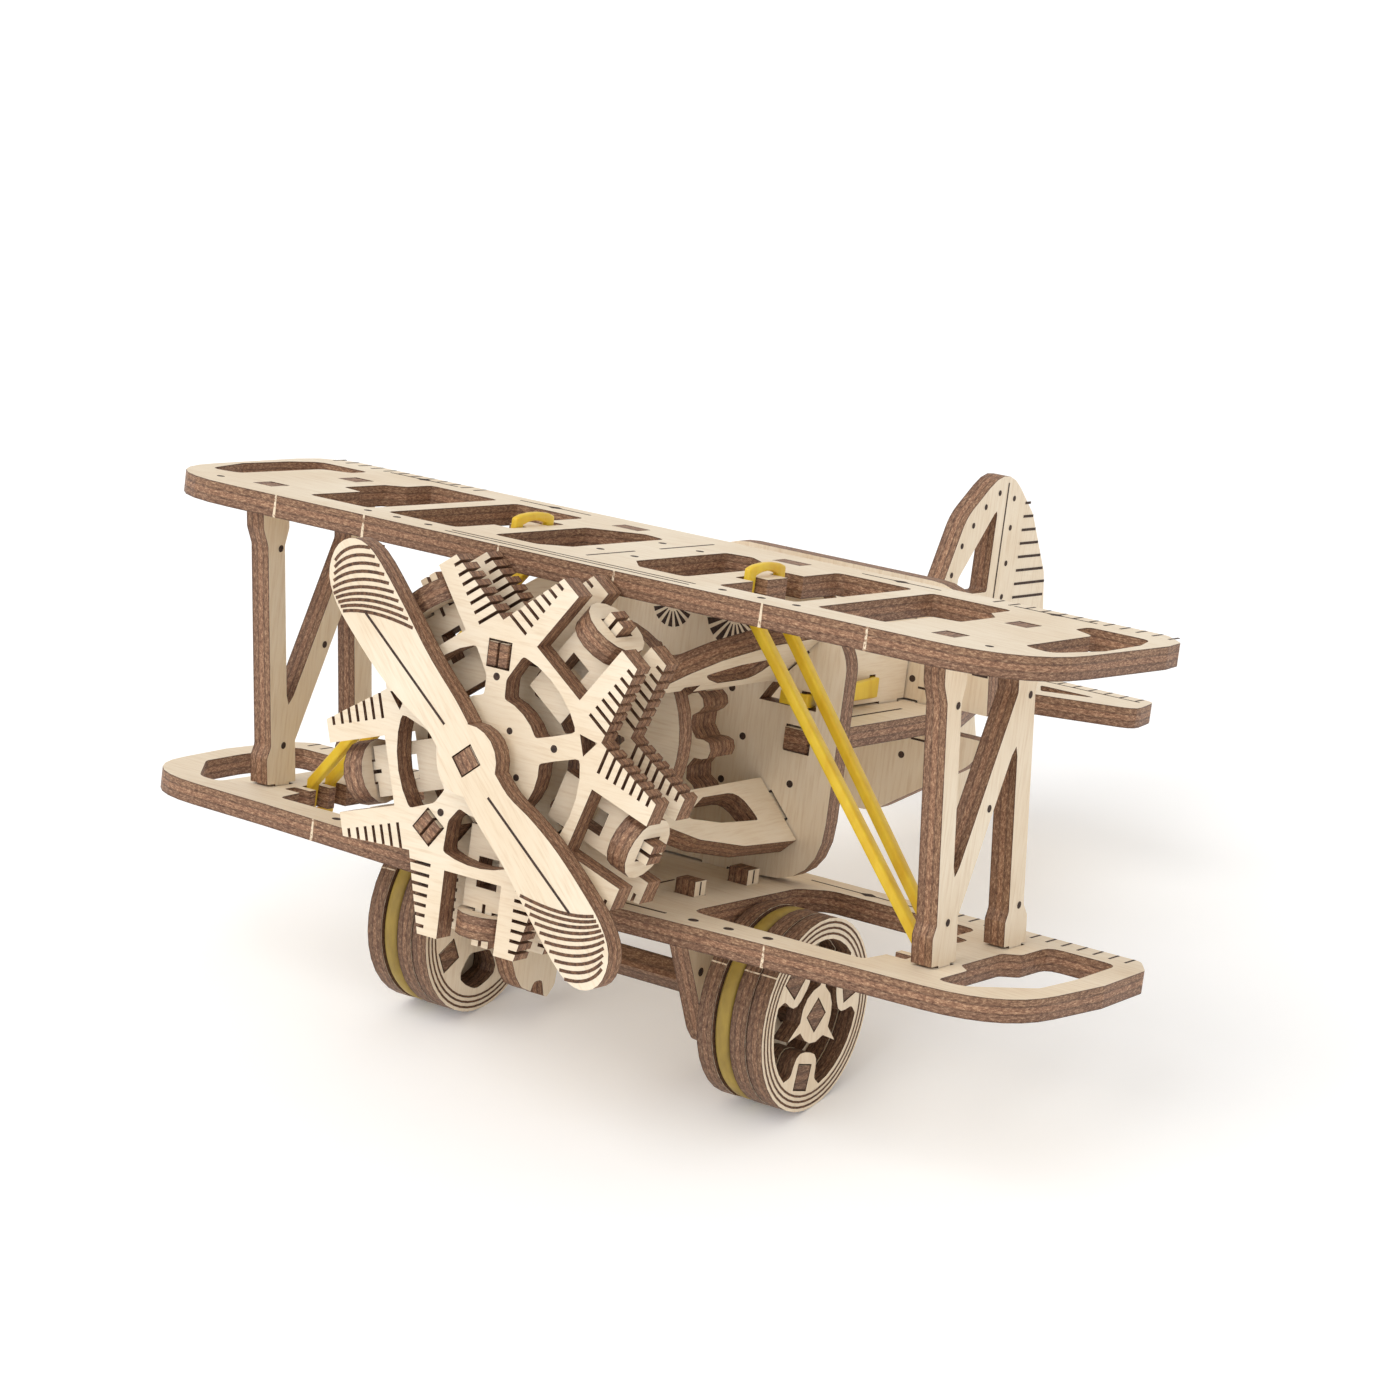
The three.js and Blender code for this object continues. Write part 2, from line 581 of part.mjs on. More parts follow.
function deckShape() {
  const front = BULKHEAD_Y - 0.7;
  const shoulder = BULKHEAD_Y + PLY + GAP;
  const half = [
    [PRONG[0], shoulder], [PRONG[0], front], [PRONG[1], front], [PRONG[1], shoulder], [21, shoulder],
    [21, 60, 6], [16, 74, 4], [16, 82, 3], [33.6, 90, 3], [32, 99, 2],
  ];
  const shape = outline([...half, ...mirrored(half).reverse()]);
  for (const [, side] of SIDES) {
    shape.holes.push(hole(flip([[16.5, 92, 0.6], [26.5, 92, 0.6], [19, 87.4, 0.6]], side)));
    const tenons = [
      [SIDE_X, SIDE_TENON.deck[0], SIDE_X + PLY, SIDE_TENON.deck[1]],
      [FORMER_TENON.upper[0], REAR_BULKHEAD_Y, FORMER_TENON.upper[1], REAR_BULKHEAD_Y + PLY],
      [FORMER_TENON.lower[0], REAR_BULKHEAD_Y, FORMER_TENON.lower[1], REAR_BULKHEAD_Y + PLY],
    ];
    for (const [x0, y0, x1, y1] of tenons) {
      shape.holes.push(hole(flip(box2d(x0 - GAP, y0 - GAP, x1 + GAP, y1 + GAP), side)));
    }
  }
  for (const [y0, y1] of [FIN_TENON, SKID_TENON]) {
    shape.holes.push(hole(box2d(-PLY / 2 - GAP, y0 - GAP, PLY / 2 + GAP, y1 + GAP)));
  }
  return shape;
}

function fuselageSideShape() {
  const low = DECK_Z + PLY + GAP;
  const front = BULKHEAD_Y + PLY + GAP;
  const rear = REAR_BULKHEAD_Y - GAP;
  const [b0, b1] = SIDE_TENON.bulkhead;
  const [f0, f1] = SIDE_TENON.former;
  const [d0, d1] = SIDE_TENON.deck;
  const shape = outline([
    [front, 29.4], [BAND_HOOK_Y, 29.4, 5], [BAND_HOOK_Y, low], [d0, low], [d0, DECK_Z],
    [d1, DECK_Z], [d1, low], [rear, low], [rear, f0], [rear + PLY + GAP, f0], [rear + PLY + GAP, f1],
    [rear, f1], [rear, 36, 2], [front, 38.2], [front, b1], [front - PLY - GAP, b1],
    [front - PLY - GAP, b0], [front, b0],
  ]);
  const [y0, z0, y1, z1] = BAND_SLOT;
  shape.holes.push(hole(box2d(y0, z0, y1, z1)));
  return shape;
}

function upperFormerShape() {
  const low = DECK_Z + PLY + GAP;
  const [t0, t1] = FORMER_TENON.upper;
  const half = [
    [t0, low], [t0, DECK_Z], [t1, DECK_Z], [t1, low], [26.7, low], [26, 28, 6], [20, 38.4, 8],
  ];
  const shape = outline([...half, ...mirrored(half).reverse()]);
  for (const [, side] of SIDES) {
    const [f0, f1] = SIDE_TENON.former;
    shape.holes.push(hole(flip(box2d(SIDE_X - GAP, f0 - GAP, SIDE_X + PLY + GAP, f1 + GAP), side)));
  }
  return shape;
}

function lowerFormerShape() {
  const high = DECK_Z - GAP;
  const [t0, t1] = FORMER_TENON.lower;
  const half = [
    [10.5, 4.2, 6], [25.6, 14.2, 6], [26.8, high], [t1, high], [t1, DECK_Z + PLY], [t0, DECK_Z + PLY],
    [t0, high],
  ];
  return outline([...half, ...mirrored(half).reverse()]);
}

function finShape() {
  const low = DECK_Z + PLY + GAP;
  const shape = outline([
    [83, low], [FIN_TENON[0], low], [FIN_TENON[0], DECK_Z], [FIN_TENON[1], DECK_Z], [FIN_TENON[1], low],
    [118, low], [119, 27, 2], [117.2, 34, 3], [110.8, 43.4, 4], [101, 51.4, 8], [90, 43.6, 8],
    [84.4, 31.6, 4],
  ]);
  shape.holes.push(hole([[89.7, 31.8, 0.5], [99.3, 31.8, 0.5], [99.3, 44.8, 0.5], [89.9, 34.4, 0.5]]));
  return shape;
}

function skidShape() {
  const high = DECK_Z - GAP;
  const [t0, t1] = SKID_TENON;
  const ground = (y) => AXLE.z + ((y - AXLE.y) * Math.sin(PITCH) - WHEEL_R) / Math.cos(PITCH);
  const toe = 2;
  return outline([
    [SKID_Y - toe, ground(SKID_Y - toe)], [SKID_Y + toe, ground(SKID_Y + toe)], [105.8, 1, 1],
    [99, high], [t1, high], [t1, DECK_Z + PLY], [t0, DECK_Z + PLY], [t0, high], [83, high, 1], [88, 8, 6],
  ]);
}

// A stretched rubber loop from a bridge in the bulkhead to a hook in the fuselage side.
function fuselageBand(name, sign) {
  const front = BULKHEAD_Y - GAP - 0.4;
  const behind = BULKHEAD_Y + PLY + 0.5;
  const z = (BAND_Z[0] + BAND_Z[1]) / 2;
  const [y0, z0, y1, z1] = BAND_SLOT;
  const hook = [(y0 + y1) / 2, (z0 + z1) / 2, z1 - z0 - 0.5];
  const inside = SIDE_X - 0.6;
  const corners = [
    [19.2, front, z], [18.9, behind, z], [SIDE_X + PLY + 0.6, ...hook], [inside, ...hook],
    [inside, BAND_HOOK_Y - 0.5, ...hook.slice(1)], [15.4, behind, z], [15.7, front, z],
  ];
  const high = BAND_Z[1] - BAND_Z[0];
  return rubberLoop(name, corners.map(([x, ...rest]) => [sign * x, ...rest]), [0.8, 0.8, high]);
}

function addFuselage() {
  plateY("front_bulkhead", bulkheadShape(), BULKHEAD_Y);
  addPetals();
  plateZ("tail_deck", deckShape(), DECK_Z);
  plateY("rear_former_upper", upperFormerShape(), REAR_BULKHEAD_Y);
  plateY("rear_former_lower", lowerFormerShape(), REAR_BULKHEAD_Y);
  plateX("fin", finShape(), -PLY / 2);
  plateX("tail_skid", skidShape(), -PLY / 2);
  for (const [side, sign] of SIDES) {
    plateX("fuselage_side_" + side, fuselageSideShape(), sign > 0 ? SIDE_X : -SIDE_X - PLY);
    aircraft.add(fuselageBand("fuselage_band_" + side, sign));
  }
}

// ---------- bracing bands: rubber loops from the upper wing's rib to the lower wing's rail ----------

// Where a band hooks over the upper wing and under the lower one, and the y of its two strands there.
const BRACE = {
  section: [1, 1.7, 1],
  top: { x: 18.45, y: [3.2, 10.2] },
  bottom: { x: 49.3, y: [5.4, 9.4] },
};

// A closed loop: the hull between the section's blocks at each pair of neighbouring corners. A corner
// [x, y, z, high] gives its block a height of its own.
function rubberLoop(name, corners, section) {
  const blocks = corners.map(([x, y, z, high = section[2]]) =>
    wasm.Manifold.cube([section[0], section[1], high], true).translate([x, y, z]));
  const next = (i) => blocks[(i + 1) % blocks.length];
  const runs = blocks.map((block, i) => wasm.Manifold.hull([block, next(i)]));
  return meshFrom(name, wasm.Manifold.union(runs), RUBBER);
}

function addBracingBands() {
  const { section, top, bottom } = BRACE;
  const over = WING_GAP + PLY + section[2] / 2 + 0.2;
  const under = -PLY - section[2] / 2 - 0.2;
  for (const [side, sign] of SIDES) {
    const strand = (i) => [
      [sign * top.x, top.y[i], over], [sign * top.x, top.y[i], WING_GAP - section[2] / 2],
      [sign * bottom.x, bottom.y[i], section[2] / 2], [sign * bottom.x, bottom.y[i], under],
    ];
    const arch = [[0.2, 0.4], [0.5, 0.6], [0.8, 0.4]].map(([t, rise]) =>
      [sign * top.x, top.y[0] + t * (top.y[1] - top.y[0]), over + rise]);
    const loop = [...arch.reverse(), ...strand(0), ...strand(1).reverse()];
    aircraft.add(rubberLoop("bracing_band_" + side, loop, section));
  }
}

// ---------- landing gear: legs, axle and two four-plate wheels ----------

const AXLE_SIDE = 3; // square bar, turned so that it stands on a corner
// Angles of each wheel's three lobes, each held by a pin, in degrees.
const LOBES = { left: [-150, -30, 90], right: [-100, 20, 140] };
const PIN = { r: 8.35, across: 1.5, out: 1.6, gap: 0.22 };

const wheelYZ = (degrees, across, out) => {
  const a = THREE.MathUtils.degToRad(degrees);
  const y = out * Math.cos(a) - across * Math.sin(a);
  const z = out * Math.sin(a) + across * Math.cos(a);
  return [y + AXLE.y, z + AXLE.z];
};

const wheelPoints = (degrees, points) => points.map(([t, r, f]) => [...wheelYZ(degrees, t, r), f]);

function axleSquare(gap) {
  const corner = AXLE_SIDE / Math.SQRT2 + gap * Math.SQRT2;
  return [0, 90, 180, 270].map((a) => wheelYZ(a, 0, corner));
}

function pinSquare(lobe, gap) {
  const t = PIN.across + gap;
  const r = PIN.out + gap;
  return wheelPoints(lobe, box2d(-t, PIN.r - r, t, PIN.r + r));
}

function legShape() {
  const high = -PLY - GAP;
  const [[a0, a1], [b0, b1]] = LEG_TENONS;
  const proud = 2;
  const shape = outline([
    [0.3, high], [9.2, -19.4, 3], [10.8, -21.1, 1], [13.1, -22], [13.7, -20.7, 0.8],
    [15.6, -20.7, 0.8], [16.4, -23.1, 0.3], [17.2, -23.4, 0.5], [18.8, -21.8, 1.2], [20.2, high],
    [b1, high], [b1, proud], [b0, proud], [b0, high], [a1, high], [a1, proud], [a0, proud], [a0, high],
  ]);
  shape.holes.push(bore(2.5, AXLE.y, AXLE.z));
  return shape;
}

// Ring with three lobes that point inwards.
function rimShape(lobes) {
  const shape = disc(WHEEL_R, AXLE.y, AXLE.z);
  const inner = 10.2;
  const points = [];
  for (const lobe of lobes) {
    const half = [[2.7, 5, 2.2], [3.1, 8.4, 0.9], [4.6, 9.1]];
    points.push(...wheelPoints(lobe, [...mirrored(half).reverse(), ...half]));
    for (let a = 38; a <= 82; a += 11) points.push(wheelYZ(lobe + a, 0, inner));
  }
  shape.holes.push(hole(points));
  for (const lobe of lobes) shape.holes.push(hole(pinSquare(lobe, PIN.gap)));
  return shape;
}

// Round plate with three windows between the pins.
function spokedShape(radius, lobes) {
  const shape = disc(radius, AXLE.y, AXLE.z);
  for (const lobe of lobes) {
    const points = [];
    for (const [r, a, f] of [[5, 34, 1.5], [5, 86, 1.5], [9.4, 93, 2], [10, 60, 3], [9.4, 27, 2]]) {
      points.push([...wheelYZ(lobe + a, 0, r), f]);
    }
    shape.holes.push(hole(points));
    shape.holes.push(hole(pinSquare(lobe, PIN.gap)));
  }
  shape.holes.push(hole(axleSquare(0.2)));
  return shape;
}

// Round hub with three thorn-like spikes, each opposite a lobe.
function hubShape(lobes) {
  const points = [];
  const profile = [[-12, 3.9], [3, 7], [9, 4], [33, 3.8], [57, 3.8], [81, 3.8]]; // degrees, radius
  for (const lobe of lobes) {
    for (const [turn, r] of profile) points.push(wheelYZ(lobe + 180 + turn, 0, r));
  }
  const shape = outline(points);
  shape.holes.push(hole(axleSquare(0.2)));
  return shape;
}

function tyreShape() {
  const shape = disc(WHEEL_R - 0.1, AXLE.y, AXLE.z);
  shape.holes.push(bore(11.2, AXLE.y, AXLE.z));
  return shape;
}

// Plates from the inner face outwards: disc, then core and backing in an order that differs by side.
function addWheel(side, sign) {
  const pitch = WHEEL_PLY + 0.2;
  const layer = { disc: 0, core: sign > 0 ? 1 : 2, backing: sign > 0 ? 2 : 1, rim: 3 };
  const place = (name, shape, index, finish = PALE, segments = 18) => {
    const inner = WHEEL_X + index * pitch;
    const x = sign > 0 ? inner : -inner - WHEEL_PLY;
    plateX(name + "_" + side, shape, x, finish, WHEEL_PLY, segments);
  };
  const lobes = LOBES[side];
  place("wheel_disc", spokedShape(WHEEL_R, lobes), layer.disc);
  place("wheel_core", spokedShape(11, lobes), layer.core);
  place("tyre", tyreShape(), layer.core, TYRE);
  place("wheel_backing", rimShape(lobes), layer.backing);
  place("wheel_rim", rimShape(lobes), layer.rim);
  place("wheel_hub", hubShape(lobes), layer.rim, PALE, 4);
  const width = 3 * pitch + WHEEL_PLY;
  lobes.forEach((lobe, i) => {
    const x = sign > 0 ? WHEEL_X : -WHEEL_X - width;
    plateX("wheel_pin_" + side + "_" + (i + 1), outline(pinSquare(lobe, 0)), x, PALE, width);
  });
  return WHEEL_X + width;
}

function addLandingGear() {
  let end = 0;
  for (const [side, sign] of SIDES) {
    plateX("landing_leg_" + side, legShape(), sign > 0 ? LEG_X : -LEG_X - PLY);
    end = addWheel(side, sign);
  }
  plateX("wheel_axle", outline(axleSquare(0)), -end, PALE, 2 * end);
}

addWings();
addStruts();
addEngine();
addTurningShaft();
addFuselage();
addBracingBands();
addLandingGear();

// Stand the aircraft on its wheels and skid, with the origin under the middle of its length.
aircraft.rotation.x = -PITCH;
const lift = WHEEL_R + AXLE.y * Math.sin(PITCH) - AXLE.z * Math.cos(PITCH);
aircraft.position.set(0, -CENTRE_Y, lift);

const model = new THREE.Group();
model.add(aircraft);

export default model;
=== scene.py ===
"""Biplane scale model: materials, engraving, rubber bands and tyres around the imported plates."""

import json
import math

import bmesh
import bpy
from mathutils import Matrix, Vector


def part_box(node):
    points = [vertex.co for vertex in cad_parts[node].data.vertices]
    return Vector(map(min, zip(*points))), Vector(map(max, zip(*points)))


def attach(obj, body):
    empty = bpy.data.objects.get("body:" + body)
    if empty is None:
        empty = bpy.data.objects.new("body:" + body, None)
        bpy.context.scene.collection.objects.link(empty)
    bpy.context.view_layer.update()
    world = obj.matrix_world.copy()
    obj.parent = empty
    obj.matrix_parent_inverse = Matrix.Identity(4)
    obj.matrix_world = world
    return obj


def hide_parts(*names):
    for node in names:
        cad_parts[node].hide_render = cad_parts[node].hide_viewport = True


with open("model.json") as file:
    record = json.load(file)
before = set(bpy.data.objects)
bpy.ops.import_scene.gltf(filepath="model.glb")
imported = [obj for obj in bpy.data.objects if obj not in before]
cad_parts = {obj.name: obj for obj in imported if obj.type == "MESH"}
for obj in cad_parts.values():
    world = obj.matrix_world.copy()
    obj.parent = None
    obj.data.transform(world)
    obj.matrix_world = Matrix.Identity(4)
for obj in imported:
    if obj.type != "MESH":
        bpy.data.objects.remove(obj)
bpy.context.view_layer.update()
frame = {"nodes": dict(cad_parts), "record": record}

MM = 0.001
PLY = 3.0

# ---------- aircraft axes ----------
# The plates are laid out level, in millimetres, with z = 0 on top of the lower wing. The packed
# model stands nose-up, so the level axes come from the joints of the propeller and the wheels.

AXLE_LEVEL = (0.0, 11.5, -13.5)
SHAFT_Z = 17.3
WING_TOP = 42.3
DECK_TOP = 21.0
WHEEL_R = 13.0

# Where faces lie: y with the front one first, or x of a right-hand plate with the inner one first.
PROPELLER_Y = (-28, -25)
WING_FRONT_Y = -13.9
STAR_FRONT_Y = -23.6
BULKHEAD_FRONT_Y = 20.7
FORMER_Y = (57, 60)
STRUT_X = (51.7, 54.7)
LEG_X = (14, 17)
FIN_X = 1.5

joints = {j["name"]: j for j in frame["record"]["behaviour"]["joints"]}
AFT = Vector(joints["propeller_spin"]["axis"])
RIGHT = Vector((1, 0, 0))
UP = RIGHT.cross(AFT)
AXLE = Vector(joints["wheel_spin"]["pos_m"])


def place(x, y, z):
    """World point, in metres, of a point given in the aircraft's level axes, in millimetres."""
    dy = (y - AXLE_LEVEL[1]) * MM
    dz = (z - AXLE_LEVEL[2]) * MM
    return AXLE + RIGHT * (x * MM) + AFT * dy + UP * dz


# ---------- materials ----------

def new_material(name):
    material = bpy.data.materials.new(name)
    material.use_nodes = True
    nodes = material.node_tree.nodes
    return material, nodes, material.node_tree.links, nodes["Principled BSDF"]


def add_noise(nodes, links, coords, stretch, seed=0, detail=4.0, roughness=0.6):
    """Noise in object space; stretch is how many features fit in a metre along each axis."""
    mapping = nodes.new("ShaderNodeMapping")
    mapping.inputs["Scale"].default_value = stretch
    mapping.inputs["Location"].default_value = (17.3 * seed, 9.1 * seed, 4.7 * seed)
    links.new(coords, mapping.inputs["Vector"])
    noise = nodes.new("ShaderNodeTexNoise")
    noise.inputs["Scale"].default_value = 1.0
    noise.inputs["Detail"].default_value = detail
    noise.inputs["Roughness"].default_value = roughness
    links.new(mapping.outputs["Vector"], noise.inputs["Vector"])
    return noise.outputs["Fac"]


def add_ramp(nodes, links, value, stops):
    ramp = nodes.new("ShaderNodeValToRGB")
    while len(ramp.color_ramp.elements) < len(stops):
        ramp.color_ramp.elements.new(0.5)
    for element, (place_at, colour) in zip(ramp.color_ramp.elements, stops):
        element.position = place_at
        element.color = (*colour, 1)
    links.new(value, ramp.inputs["Fac"])
    return ramp.outputs["Color"]


def add_mix(nodes, links, blend, factor, a, b):
    mix = nodes.new("ShaderNodeMix")
    mix.data_type = "RGBA"
    mix.blend_type = blend
    if isinstance(factor, float):
        mix.inputs[0].default_value = factor
    else:
        links.new(factor, mix.inputs[0])
    links.new(a, mix.inputs[6])
    links.new(b, mix.inputs[7])
    return mix.outputs[2]


def add_bump(nodes, links, bsdf, height, strength, distance):
    bump = nodes.new("ShaderNodeBump")
    bump.inputs["Strength"].default_value = strength
    bump.inputs["Distance"].default_value = distance
    links.new(height, bump.inputs["Height"])
    links.new(bump.outputs["Normal"], bsdf.inputs["Normal"])


BIRCH = [(0.30, (0.76, 0.62, 0.455)), (0.50, (0.84, 0.72, 0.555)), (0.80, (0.88, 0.775, 0.62))]
CLOUDS = [(0.32, (0.93, 0.89, 0.84)), (0.62, (1, 1, 1))]
SCORCH = [(0.33, (0.070, 0.032, 0.020)), (0.44, (0.165, 0.080, 0.047)), (0.53, (0.300, 0.165, 0.098)),
          (0.62, (0.53, 0.34, 0.21)), (0.74, (0.76, 0.56, 0.37))]
PLIES = [(0.0, (0.40, 0.38, 0.38)), (0.08, (0.90, 0.87, 0.86)), (0.26, (1.0, 1.0, 1.0)),
         (0.33, (0.62, 0.60, 0.60)), (0.41, (1.25, 1.22, 1.18)), (0.59, (1.25, 1.22, 1.18)),
         (0.67, (0.62, 0.60, 0.60)), (0.74, (1.1, 1.1, 1.05)), (0.92, (1.05, 1.05, 1.0)),
         (1.0, (0.40, 0.38, 0.38))]


# How bright the cut edges are: the wheels' treads are burnt darker.
PLATE_BURN = 0.9
WHEEL_BURN = 0.65


def add_dot(nodes, links, vector, axis):
    dot = nodes.new("ShaderNodeVectorMath")
    dot.operation = "DOT_PRODUCT"
    dot.inputs[1].default_value = axis
    links.new(vector, dot.inputs[0])
    return dot.outputs["Value"]


def plywood(name, facing, grain, low, high, seed, burn):
    """Birch face where the surface looks along facing, and scorched plies on the cut edges.

    low and high are where the plate's two faces lie along facing, in metres. burn scales the
    brightness of the edges.
    """
    material, nodes, links, bsdf = new_material(name)
    coords = nodes.new("ShaderNodeTexCoord")
    spot = coords.outputs["Object"]
    depth = add_dot(nodes, links, spot, facing)
    level = nodes.new("ShaderNodeCombineXYZ")
    links.new(depth, level.inputs["X"])
    links.new(add_dot(nodes, links, spot, grain), level.inputs["Y"])
    links.new(add_dot(nodes, links, spot, facing.cross(grain)), level.inputs["Z"])
    laid = level.outputs["Vector"]

    turned = nodes.new("ShaderNodeMath")
    turned.operation = "ABSOLUTE"
    links.new(add_dot(nodes, links, coords.outputs["Normal"], facing), turned.inputs[0])
    is_face = nodes.new("ShaderNodeMath")
    is_face.operation = "GREATER_THAN"
    is_face.inputs[1].default_value = 0.8
    links.new(turned.outputs["Value"], is_face.inputs[0])

    streaks = add_noise(nodes, links, laid, (400, 190, 2600), seed, 5.0, 0.6)
    face = add_ramp(nodes, links, streaks, BIRCH)
    clouds = add_noise(nodes, links, spot, (55, 55, 55), seed, 3.0, 0.5)
    face = add_mix(nodes, links, "MULTIPLY", 1.0, face, add_ramp(nodes, links, clouds, CLOUDS))

    across = nodes.new("ShaderNodeMapRange")
    across.inputs["From Min"].default_value = low
    across.inputs["From Max"].default_value = high
    across.inputs["To Max"].default_value = max(1, round((high - low) / (PLY * MM)))
    links.new(depth, across.inputs["Value"])
    sheet = nodes.new("ShaderNodeMath")
    sheet.operation = "FRACT"
    links.new(across.outputs["Result"], sheet.inputs[0])
    flecks = add_noise(nodes, links, laid, (5200, 1500, 1500), seed, 8.0, 0.82)
    edge = add_ramp(nodes, links, flecks, [(at, tuple(burn * c for c in rgb)) for at, rgb in SCORCH])
    plies = add_ramp(nodes, links, sheet.outputs["Value"], PLIES)
    edge = add_mix(nodes, links, "MULTIPLY", 1.0, edge, plies)

    colour = add_mix(nodes, links, "MIX", is_face.outputs["Value"], edge, face)
    links.new(colour, bsdf.inputs["Base Color"])
    bsdf.inputs["Roughness"].default_value = 0.58
    bsdf.inputs["Specular IOR Level"].default_value = 0.35
    add_bump(nodes, links, bsdf, flecks, 0.3, 0.00015)
    return material


def scorched(name, dark, light):
    material, nodes, links, bsdf = new_material(name)
    coords = nodes.new("ShaderNodeTexCoord")
    char = add_noise(nodes, links, coords.outputs["Object"], (2500, 2500, 2500))
    colour = add_ramp(nodes, links, char, [(0.35, dark), (0.65, light)])
    links.new(colour, bsdf.inputs["Base Color"])
    bsdf.inputs["Roughness"].default_value = 0.85
    add_bump(nodes, links, bsdf, char, 0.3, 0.0001)
    return material


def tab_scar(name):
    material, nodes, links, bsdf = new_material(name)
    coords = nodes.new("ShaderNodeTexCoord")
    fibres = add_noise(nodes, links, coords.outputs["Object"], (2200, 2200, 2200))
    torn = add_ramp(nodes, links, fibres, [(0.38, (0.30, 0.17, 0.10)), (0.52, (0.80, 0.66, 0.48))])
    links.new(torn, bsdf.inputs["Base Color"])
    bsdf.inputs["Roughness"].default_value = 0.8
    return material


def rubber(name, light, dark, roughness, glow):
    material, nodes, links, bsdf = new_material(name)
    coords = nodes.new("ShaderNodeTexCoord")
    milk = add_noise(nodes, links, coords.outputs["Object"], (350, 350, 120))
    links.new(add_ramp(nodes, links, milk, [(0.3, dark), (0.62, light)]), bsdf.inputs["Base Color"])
    bsdf.inputs["Roughness"].default_value = roughness
    bsdf.inputs["Subsurface Weight"].default_value = glow
    bsdf.inputs["Subsurface Radius"].default_value = (1.0, 0.6, 0.1)
    bsdf.inputs["Subsurface Scale"].default_value = 0.001
    add_bump(nodes, links, bsdf, milk, 0.08, 0.0002)
    return material


# ---------- plates: each gets its own plywood, laid along its faces and its grain ----------

# Angles round the shaft, in degrees from the right-hand side towards the top.
CYLINDERS = (54, -18, -90, -162, 126)
STAR_ARMS = (90, 18, -54, -126, 162)
TIES = (90, -54, -126)
SHAFT_TURN = 40
BLADE_TURN = 132.6
PETAL_OVER = (0.728, 0.685)


def radial(degrees):
    a = math.radians(degrees)
    return RIGHT * math.cos(a) + UP * math.sin(a)


# The way each kind of plate faces, and the way its grain runs. The first stem that fits counts.
PLATES = [
    ("upper_wing", UP, RIGHT), ("lower_wing", UP, RIGHT), ("tail_deck", UP, RIGHT),
    ("wheel_pin", UP, AFT), ("wheel_axle", UP, RIGHT), ("wheel_", RIGHT, UP),
    ("interplane_strut", RIGHT, UP), ("fuselage_side", RIGHT, AFT), ("fin", RIGHT, UP),
    ("tail_skid", RIGHT, UP), ("landing_leg", RIGHT, UP),
    ("front_star", AFT, RIGHT), ("rear_star", AFT, RIGHT), ("piston_plate", AFT, RIGHT),
    ("engine_disc", AFT, RIGHT), ("propeller", AFT, radial(BLADE_TURN)), ("shaft_gear", AFT, RIGHT),
    ("front_bulkhead", AFT, UP), ("rear_former", AFT, UP), ("prop_shaft", radial(SHAFT_TURN), AFT),
]
PLATES += [(f"piston_cap_{i + 1}", radial(angle), AFT) for i, angle in enumerate(CYLINDERS)]
PLATES += [(f"engine_tie_{i + 1}", radial(angle), AFT) for i, angle in enumerate(TIES)]
for side, sign in (("left", -1), ("right", 1)):
    for level, rise in (("upper", -1), ("lower", 1)):
        over = RIGHT * (sign * PETAL_OVER[0]) + UP * (rise * PETAL_OVER[1])
        PLATES.append((f"cowl_petal_{level}_{side}", over, AFT))


def finish_plates():
    for seed, (node, plate) in enumerate(sorted(frame["nodes"].items())):
        fits = [(facing, grain) for stem, facing, grain in PLATES if node.startswith(stem)]
        if not fits:
            continue
        facing, grain = fits[0]
        depths = [v.co.dot(facing) for v in plate.data.vertices]
        burn = WHEEL_BURN if node.startswith("wheel") else PLATE_BURN
        material = plywood("birch_" + node, facing, grain, min(depths), max(depths), seed, burn)
        for slot in plate.material_slots:
            slot.material = material


# ---------- engraving: thin scorched strips and dots just proud of the plates ----------

PROUD = 0.03
SUNK = 0.05
LINE = 0.32
SCAR = 0.22


class Engraving:
    """Collects strips and dots on flat faces, and turns them into one mesh for one body."""

    def __init__(self):
        self.verts = []
        self.faces = []

    def prism(self, face, ring):
        """A thin prism on a ring of (u, v) points on a face."""
        start = len(self.verts)
        n = len(ring)
        for h in (-SUNK, PROUD):
            self.verts.extend(place(*face(u, v, h)) for u, v in ring)
        self.faces.append([start + i for i in range(n)])
        self.faces.append([start + n + i for i in reversed(range(n))])
        for i in range(n):
            j = (i + 1) % n
            self.faces.append([start + i, start + j, start + n + j, start + n + i])

    def line(self, face, points, width=LINE):
        left, right = [], []
        for i, (u, v) in enumerate(points):
            a = Vector(points[max(i - 1, 0)])
            b = Vector(points[min(i + 1, len(points) - 1)])
            side = (b - a).normalized().orthogonal() * (width / 2)
            left.append((u + side.x, v + side.y))
            right.append((u - side.x, v - side.y))
        self.prism(face, left + right[::-1])

    def dot(self, face, u, v, radius=0.55, sides=12, stretch=1.0):
        turns = [2 * math.pi * i / sides for i in range(sides)]
        self.prism(face, [(u + stretch * radius * math.cos(t), v + radius * math.sin(t)) for t in turns])

    def ring(self, face, u, v, radius, width=0.25, sides=48):
        """A closed ring, made of two half rings."""
        for first in (0, sides // 2):
            points = []
            for i in range(first, first + sides // 2 + 1):
                t = 2 * math.pi * i / sides
                points.append((u + radius * math.cos(t), v + radius * math.sin(t)))
            self.line(face, points, width)

    def make(self, name, body, material):
        mesh = bpy.data.meshes.new(name)
        mesh.from_pydata([tuple(v) for v in self.verts], [], self.faces)
        work = bmesh.new()
        work.from_mesh(mesh)
        bmesh.ops.recalc_face_normals(work, faces=work.faces)
        work.to_mesh(mesh)
        work.free()
        mesh.materials.append(material)
        piece = bpy.data.objects.new(name, mesh)
        bpy.context.scene.collection.objects.link(piece)
        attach(piece, body)
        return piece


